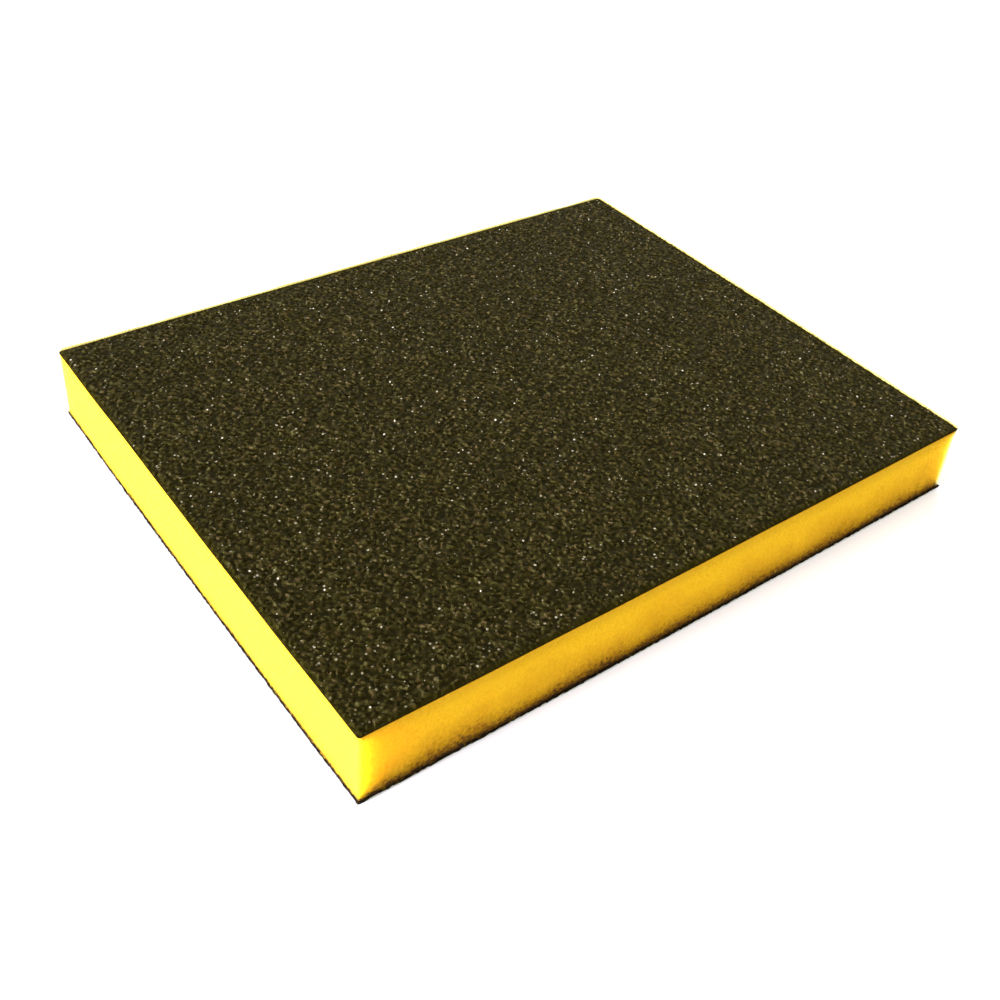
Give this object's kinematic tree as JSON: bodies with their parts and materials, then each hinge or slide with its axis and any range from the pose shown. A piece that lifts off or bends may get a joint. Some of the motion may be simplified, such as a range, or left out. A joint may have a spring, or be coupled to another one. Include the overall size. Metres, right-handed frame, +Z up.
{
  "type": "sanding pad",
  "caption": "Flat rectangular double-sided sanding pad: a soft yellow foam slab with a dark abrasive grit face above and below and bare foam round its four edges.",
  "frame": {"origin": "centre of the lower abrasive face, which the pad rests on", "axes": "+X along the pad's length, +Y across its width, +Z up through its thickness"},
  "size_m": [0.12, 0.098, 0.0135],
  "materials": {
    "foam": "matte",
    "make_coat_resin": "matte",
    "abrasive_grain": "matte",
    "size_coat_resin": "satin"
  },
  "bodies": {
    "root": {"foam_core": "foam", "upper_make_coat": "make_coat_resin", "upper_abrasive_grain": "abrasive_grain", "upper_size_coat": "size_coat_resin", "lower_make_coat": "make_coat_resin", "lower_abrasive_grain": "abrasive_grain", "lower_size_coat": "size_coat_resin"}
  },
  "joints": []
}
